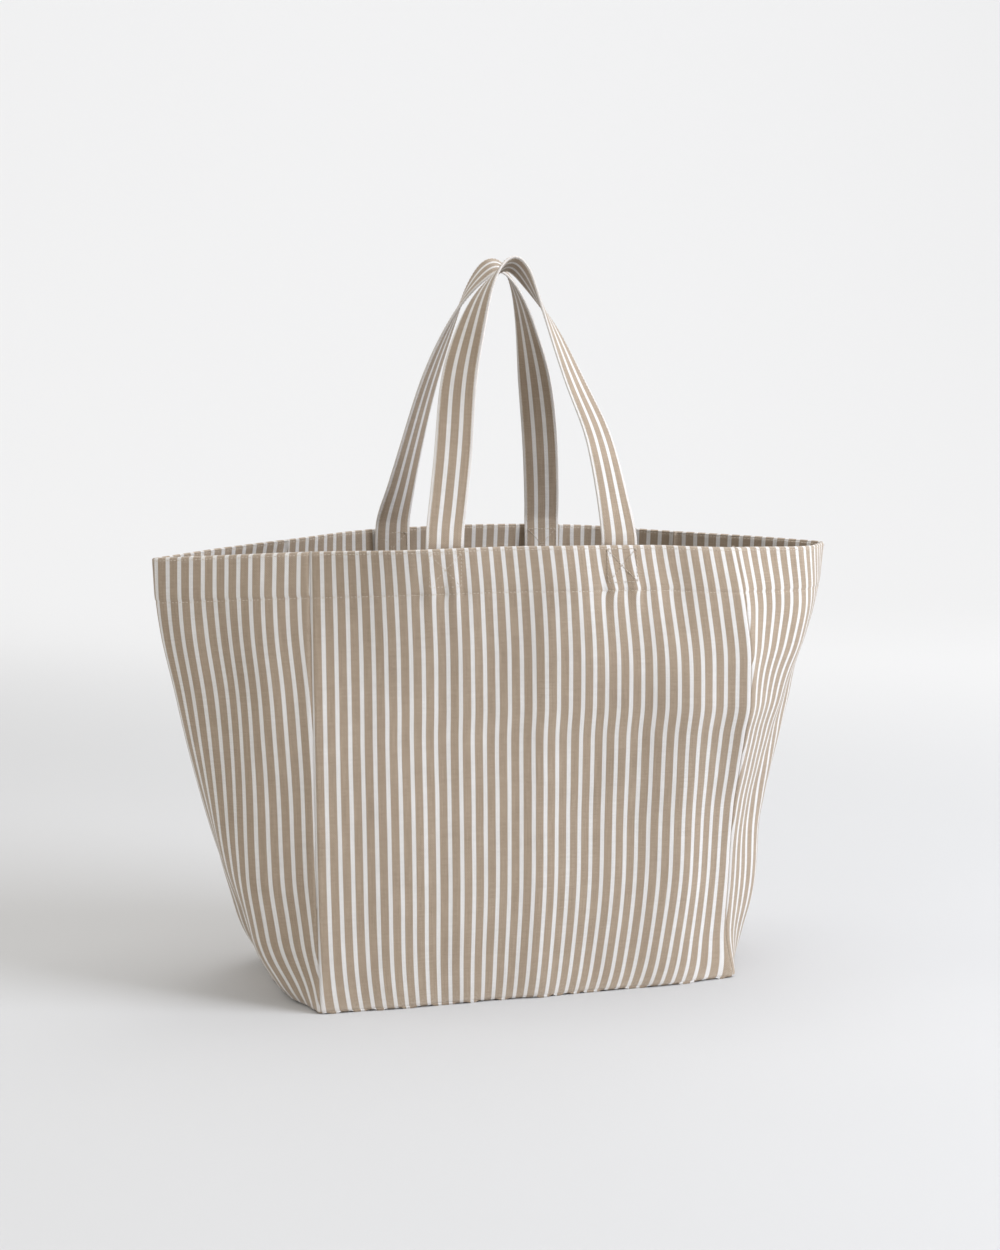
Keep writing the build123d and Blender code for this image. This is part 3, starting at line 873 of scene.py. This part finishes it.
def eased_path(path):
    """The path in even steps, with its corners eased a little."""
    even = even_run(path, np.linspace(0, 1, round(distance_along(path)[-1] / SEAM_STEP) + 1))
    for _ in range(SEAM_EASES):
        even[1:-1] = (even[:-2] + 2 * even[1:-1] + even[2:]) / 4
    return even


def make_allowance(name, seam, material):
    """The two raw edges of a seam, lying together: a thin strip that stands in from the seam."""
    path, tangent, towards = seam
    face = np.cross(tangent, towards)
    run = np.arange(len(path)) * SEAM_STEP
    curl = sum(size * np.sin(run / length + phase) for size, length, phase in ALLOWANCE_CURLS)
    near, far = ([(share, half) for share in ALLOWANCE_SHARES] for half in (-1, 1))
    section = [*near, (1, 0), *far[::-1]]
    rows = []
    for share, half in section:
        rows.append(path + towards * share * ALLOWANCE + face * (half * CLOTH + curl * share**2)[:, None])
    count, around = len(path), len(section)
    sides, caps = tube(count, around)
    shares = np.array([share for share, _ in section])
    across, down = shares * ALLOWANCE / PITCH, run / PITCH
    side_uvs = np.stack([across[sides % around], down[sides // around]], axis=-1).reshape(-1, 2)
    uvs = np.vstack([side_uvs, np.zeros((2 * around, 2))])
    points = np.array(rows).transpose(1, 0, 2).reshape(-1, 3)
    return make_piece(name, points, sides.tolist() + caps, uvs, material)


def overcast(name, seam, material):
    """The thread that overcasts the raw edges of a seam."""
    run = np.arange(len(seam[0])) * SEAM_STEP
    at = np.arange(OVERCAST_PITCH, run[-1], OVERCAST_PITCH)
    spot, way, inward = (read_along(table, run, at) for table in seam)
    side = read_along(np.cross(seam[1], seam[2]), run, at)
    stitches = []
    for hand in (-1, 1):
        centres = spot + inward * (ALLOWANCE - OVERCAST / 2) + side * hand * CLOTH
        stitches.append((centres, inward + way * OVERCAST_SLANT * hand, side * hand))
    stitches.append((spot + inward * (ALLOWANCE + EDGE_CLEAR), way + side * EDGE_SLANT, inward))
    return thread_bits(name, stitches, material, length=OVERCAST)


def seam_row(name, seam, material):
    """The row of stitching that closes a seam, on both faces of its allowance."""
    path, tangent, towards = seam
    face = np.cross(tangent, towards)
    stitches = []
    for hand in (-1, 1):
        stitches.append(even_stitches(path + towards * SEAM_ROW + face * hand * CLOTH, face * hand))
    return thread_bits(name, stitches, material)


# ---------------------------------------------------------------- materials

class Shader:
    """A material and short ways to add nodes to it."""

    def __init__(self, name):
        self.material = bpy.data.materials.new(name)
        self.material.use_nodes = True
        self.tree = self.material.node_tree
        self.surface = self.tree.nodes["Principled BSDF"]

    def node(self, kind, inputs=(), **settings):
        made = self.tree.nodes.new(kind)
        for key, value in settings.items():
            setattr(made, key, value)
        for socket, value in dict(inputs).items():
            self.feed(made.inputs[socket], value)
        return made

    def feed(self, socket, value):
        if isinstance(value, bpy.types.NodeSocket):
            self.tree.links.new(value, socket)
        else:
            socket.default_value = value

    def math(self, operation, *values):
        return self.node("ShaderNodeMath", enumerate(values), operation=operation).outputs[0]

    def plus(self, first, second):
        return self.math("ADD", first, second)

    def minus(self, first, second):
        return self.math("SUBTRACT", first, second)

    def times(self, first, second):
        return self.math("MULTIPLY", first, second)

    def set(self, name, value):
        self.feed(self.surface.inputs[name], value)

    def mix(self, share, first, second, blend="MIX"):
        made = self.node("ShaderNodeMix", data_type="RGBA", blend_type=blend)
        for name, value in (("Factor_Float", share), ("A_Color", first), ("B_Color", second)):
            socket = next(socket for socket in made.inputs if socket.identifier == name)
            self.feed(socket, value)
        return next(socket for socket in made.outputs if socket.identifier == "Result_Color")

    def noise(self, place, scale, detail=2.0, stretch=(1, 1, 1)):
        mapped = self.node("ShaderNodeMapping", {"Vector": place, "Scale": stretch})
        return self.node(
            "ShaderNodeTexNoise", {"Vector": mapped.outputs[0], "Scale": scale, "Detail": detail}
        ).outputs["Fac"]

    def ramp(self, value, low, high, start=0.0, end=1.0):
        return self.node(
            "ShaderNodeMapRange",
            {"Value": value, "From Min": low, "From Max": high, "To Min": start, "To Max": end},
            interpolation_type="SMOOTHSTEP",
        ).outputs[0]

    def bump(self, height, strength, distance, below=None):
        made = self.node("ShaderNodeBump", {"Height": height, "Strength": strength, "Distance": distance})
        if below is not None:
            self.feed(made.inputs["Normal"], below)
        return made.outputs[0]


def canvas(name, taupe):
    """Plain-woven cotton canvas with narrow white stripes, every thread woven in."""
    shader = Shader(name)
    uv = shader.node("ShaderNodeUVMap", uv_map="Cloth").outputs[0]
    split = shader.node("ShaderNodeSeparateXYZ", {0: uv})
    across, down = split.outputs[0], split.outputs[1]
    # The stripes wander by a thread here and there
    drift = shader.noise(uv, 1.0, 1.0, stretch=WANDER_SCALE)
    wander = shader.times(shader.minus(drift, 0.5), STRIPE_WANDER)
    placed = shader.plus(across, wander)
    repeat = shader.math("FRACT", shader.plus(placed, 0.5))
    from_white = shader.math("ABSOLUTE", shader.minus(repeat, 0.5))
    # Threads cross over and under, so a stripe's edge is stepped every second weft
    steps = shader.math("PINGPONG", down, THREAD_WIDTH)
    stepped = shader.times(shader.math("DIVIDE", steps, THREAD_WIDTH), STRIPE_STEP)
    edge = shader.plus(shader.minus(from_white, stepped), STRIPE_STEP / 2)
    is_white = shader.ramp(edge, STRIPE_HALF - STRIPE_SOFT, STRIPE_HALF + STRIPE_SOFT, 1.0, 0.0)
    # Weave: one hump for each crossing
    turn = math.pi / THREAD_WIDTH
    warp = shader.math("SINE", shader.times(placed, turn))
    weft = shader.math("SINE", shader.times(down, turn))
    weave = shader.times(warp, weft)
    # Each thread has its own tone, the yarn is uneven and the dye is a little patchy
    warp_tone = shader.noise(uv, 1.0, 1.0, stretch=WARP_SCALE)
    weft_tone = shader.noise(uv, 1.0, 1.0, stretch=WEFT_SCALE)
    yarn = shader.noise(uv, YARN_SCALE, 3.0)
    dye = shader.noise(uv, DYE_SCALE, 2.0)
    parts = zip((warp_tone, weft_tone, yarn, dye), TONE_PARTS)
    tone, *others = (shader.times(noise, part) for noise, part in parts)
    for other in others:
        tone = shader.plus(tone, other)
    brown = shader.mix(shader.ramp(tone, *TONE_RANGE), *taupe)
    pale = shader.mix(shader.ramp(tone, *TONE_RANGE), *WHITE)
    colour = shader.mix(is_white, brown, pale)
    # Painted shade darkens the deep places of the weave, and worn edges are paler
    hollow = shader.ramp(weave, -1.0, 0.6, HOLLOW_SHADE, 0.0)
    colour = shader.mix(hollow, colour, tuple(HOLLOW_TONE * c for c in taupe[0][:3]) + (1.0,))
    wear = shader.node("ShaderNodeAttribute", attribute_name="Wear").outputs["Fac"]
    rubbed = shader.times(wear, shader.ramp(yarn, 0.35, 0.65, *RUBBED))
    shader.set("Base Color", shader.mix(rubbed, colour, WORN))
    shader.set("Roughness", shader.ramp(tone, *TONE_RANGE, *CLOTH_ROUGH))
    shader.set("Specular IOR Level", CLOTH_SHINE)
    shader.set("Sheen Weight", CLOTH_SHEEN)
    shader.set("Sheen Roughness", SHEEN_ROUGH)
    uneven = shader.bump(yarn, *YARN_BUMP)
    shader.set("Normal", shader.bump(weave, *WEAVE_BUMP, uneven))
    return shader.material


def sewing_thread():
    """Twisted cotton sewing thread."""
    shader = Shader("sewing_thread")
    uv = shader.node("ShaderNodeUVMap", uv_map="Cloth").outputs[0]
    split = shader.node("ShaderNodeSeparateXYZ", {0: uv})
    twist = shader.plus(split.outputs[0], shader.times(split.outputs[1], PLY_TWIST))
    ply = shader.math("SINE", shader.times(twist, 2 * math.pi * PLIES))
    place = shader.node("ShaderNodeTexCoord").outputs["Object"]
    tone = shader.noise(place, THREAD_GRAIN, 2.0)
    # Painted shade: the grooves between the plies are darker than their crests
    colour = shader.mix(shader.ramp(ply, -1.0, 1.0), THREAD_DARK, THREAD_LIGHT)
    colour = shader.mix(shader.ramp(tone, *TONE_RANGE, 0.0, 0.4), colour, THREAD_LIGHT)
    shader.set("Base Color", colour)
    shader.set("Roughness", shader.ramp(tone, *TONE_RANGE, *THREAD_ROUGH))
    shader.set("Sheen Weight", THREAD_SHEEN)
    shader.set("Normal", shader.bump(ply, *PLY_BUMP))
    return shader.material


def studio_paper():
    """The pale, slightly uneven paper of floor and backdrop, with painted light: the backdrop glows, and the
    floor turns to it sooner on the right.
    """
    shader = Shader("studio_paper")
    place = shader.node("ShaderNodeTexCoord").outputs["Object"]
    tone = shader.noise(place, 2.0, 3.0)
    split = shader.node("ShaderNodeSeparateXYZ", {0: place})
    # Painted light: towards the back, and sooner on the right, the paper turns to the glowing backdrop
    skewed = shader.times(split.outputs[0], FADE_SKEW)
    far = shader.ramp(shader.plus(split.outputs[1], skewed), *FLOOR_FADE)
    paper = shader.mix(far, FLOOR_TONE, WALL_TONE)
    shader.set("Emission Color", (1.0, 1.0, 1.0, 1.0))
    shader.set("Emission Strength", shader.times(far, WALL_GLOW))
    shade = shader.mix(tone, PAPER_SHADE, (1.0, 1.0, 1.0, 1))
    shader.set("Base Color", shader.mix(1.0, paper, shade, "MULTIPLY"))
    shader.set("Roughness", PAPER_ROUGH)
    shader.set("Specular IOR Level", PAPER_SHINE)
    return shader.material


# ---------------------------------------------------------------- studio

def make_backdrop():
    """A pale floor that curves up behind the bag into a wall."""
    curve_start = BACKDROP_Y - BACKDROP_CURVE
    profile = [(-BACKDROP_REACH, 0.0)]
    for angle in np.linspace(0, math.pi / 2, BACKDROP_STEPS + 1):
        height = BACKDROP_CURVE * (1 - math.cos(angle))
        profile.append((curve_start + BACKDROP_CURVE * math.sin(angle), height))
    profile.append((BACKDROP_Y, BACKDROP_TOP))
    points = [(x, y, z) for y, z in profile for x in (-BACKDROP_REACH, BACKDROP_REACH)]
    faces = [(2 * i, 2 * i + 1, 2 * i + 3, 2 * i + 2) for i in range(len(profile) - 1)]
    mesh = bpy.data.meshes.new("backdrop")
    mesh.from_pydata(points, [], faces)
    mesh.polygons.foreach_set("use_smooth", [True] * len(faces))
    backdrop = bpy.data.objects.new("backdrop", mesh)
    bpy.context.scene.collection.objects.link(backdrop)
    mesh.materials.append(studio_paper())


def add_light(name, place, size, power, colour):
    light = bpy.data.lights.new(name, "AREA")
    light.shape = "SQUARE"
    light.size = size
    light.energy = power
    light.color = colour
    lamp = bpy.data.objects.new(name, light)
    lamp.location = place
    bpy.context.scene.collection.objects.link(lamp)
    lamp.rotation_euler = (Vector(LOOK_AT) - lamp.location).to_track_quat("-Z", "Y").to_euler()


def make_studio():
    for light in LIGHTS:
        add_light(*light)
    world = bpy.data.worlds.new("studio_air")
    world.use_nodes = True
    world.node_tree.nodes["Background"].inputs["Color"].default_value = AIR_COLOUR
    world.node_tree.nodes["Background"].inputs["Strength"].default_value = AIR
    bpy.context.scene.world = world
    bpy.context.scene.view_settings.view_transform = "Standard"


def make_camera():
    camera = bpy.data.cameras.new("camera")
    camera.lens = LENS
    camera.sensor_width = SENSOR
    eye = bpy.data.objects.new("camera", camera)
    eye.location = CAMERA_PLACE
    eye.rotation_euler = (math.radians(90 - CAMERA_DIP), 0.0, math.radians(-CAMERA_TURN))
    bpy.context.scene.collection.objects.link(eye)
    bpy.context.scene.camera = eye


# ---------------------------------------------------------------- assembly

def put(piece, slot, *nodes):
    """Puts a piece in place of the CAD nodes that it stands for, by hiding them; the slot is not used."""
    if nodes:
        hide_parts(*nodes)
    return piece


def place_cloth(cloth, thread):
    """The bag's cloth with its two rows round the rim, all fixed to the bag."""
    body, left, right, band = make_cloth(cloth)
    put(body, "striped_canvas", "front_panel", "base_panel", "back_panel")
    put(left, "striped_canvas", "left_gusset")
    put(right, "striped_canvas", "right_gusset")
    put(band, "striped_canvas", "rim_hem")
    rim_row = put(ring_stitches("rim_edge_stitches", RIM_ROW, thread), "sewing_thread", "rim_edge_stitching")
    hem_row = put(ring_stitches("hem_stitches", HEM_ROW, thread), "sewing_thread", "hem_stitching")
    for piece in (body, left, right, band, rim_row, hem_row):
        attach(piece, "root")
    return band


def place_seams(cloth, thread):
    """The raw edges inside each gusset's seam, their overcasting, and the row that closes the seam."""
    grid, heights = wall_grid()
    for word, side in (("left", -1), ("right", 1)):
        seam = seam_path(grid, heights, side)
        edges = make_allowance(f"{word}_seam_edges", seam, cloth)
        wrap = overcast(f"{word}_overcast_thread", seam, thread)
        row = seam_row(f"{word}_seam_stitches", seam, thread)
        put(edges, "overcast_canvas", f"{word}_seam_allowance")
        put(wrap, "sewing_thread")
        put(row, "sewing_thread", f"{word}_seam_stitching")
        for piece in (edges, wrap, row):
            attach(piece, "root")


def place_strap(word, side, legs, twists, cloth, thread):
    """One strap and its stitching. It is bent at the rim, where its loop leans in over the bag."""
    lines = strap_frame(side, legs, twists)
    strap = make_strap(f"{word}_strap", lines, cloth)
    rows = strap_stitches(f"{word}_strap_stitches", lines, thread)
    put(strap, "strap_canvas", f"{word}_handle_strap", f"{word}_left_strap_end", f"{word}_right_strap_end")
    put(rows, "sewing_thread", f"{word}_handle_stitching")
    for piece in (strap, rows):
        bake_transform(piece)
    for leg, hand in zip(legs, ("left", "right")):
        box = box_stitches(f"{word}_{hand}_box_stitches", leg[0][0], side, thread)
        put(box, "sewing_thread", f"{word}_{hand}_box_stitching")
        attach(box, "root")


def main():
    make_camera()
    make_backdrop()
    make_studio()
    thread = sewing_thread()
    strap_cloth = canvas("strap_canvas", STRAP_TAUPE)
    band = place_cloth(canvas("striped_canvas", TAUPE), thread)
    place_seams(canvas("overcast_canvas", TAUPE), thread)
    place_strap("front", -1, FRONT_LEGS, FRONT_TWISTS, strap_cloth, thread)
    place_strap("back", 1, BACK_LEGS, BACK_TWISTS, strap_cloth, thread)


main()
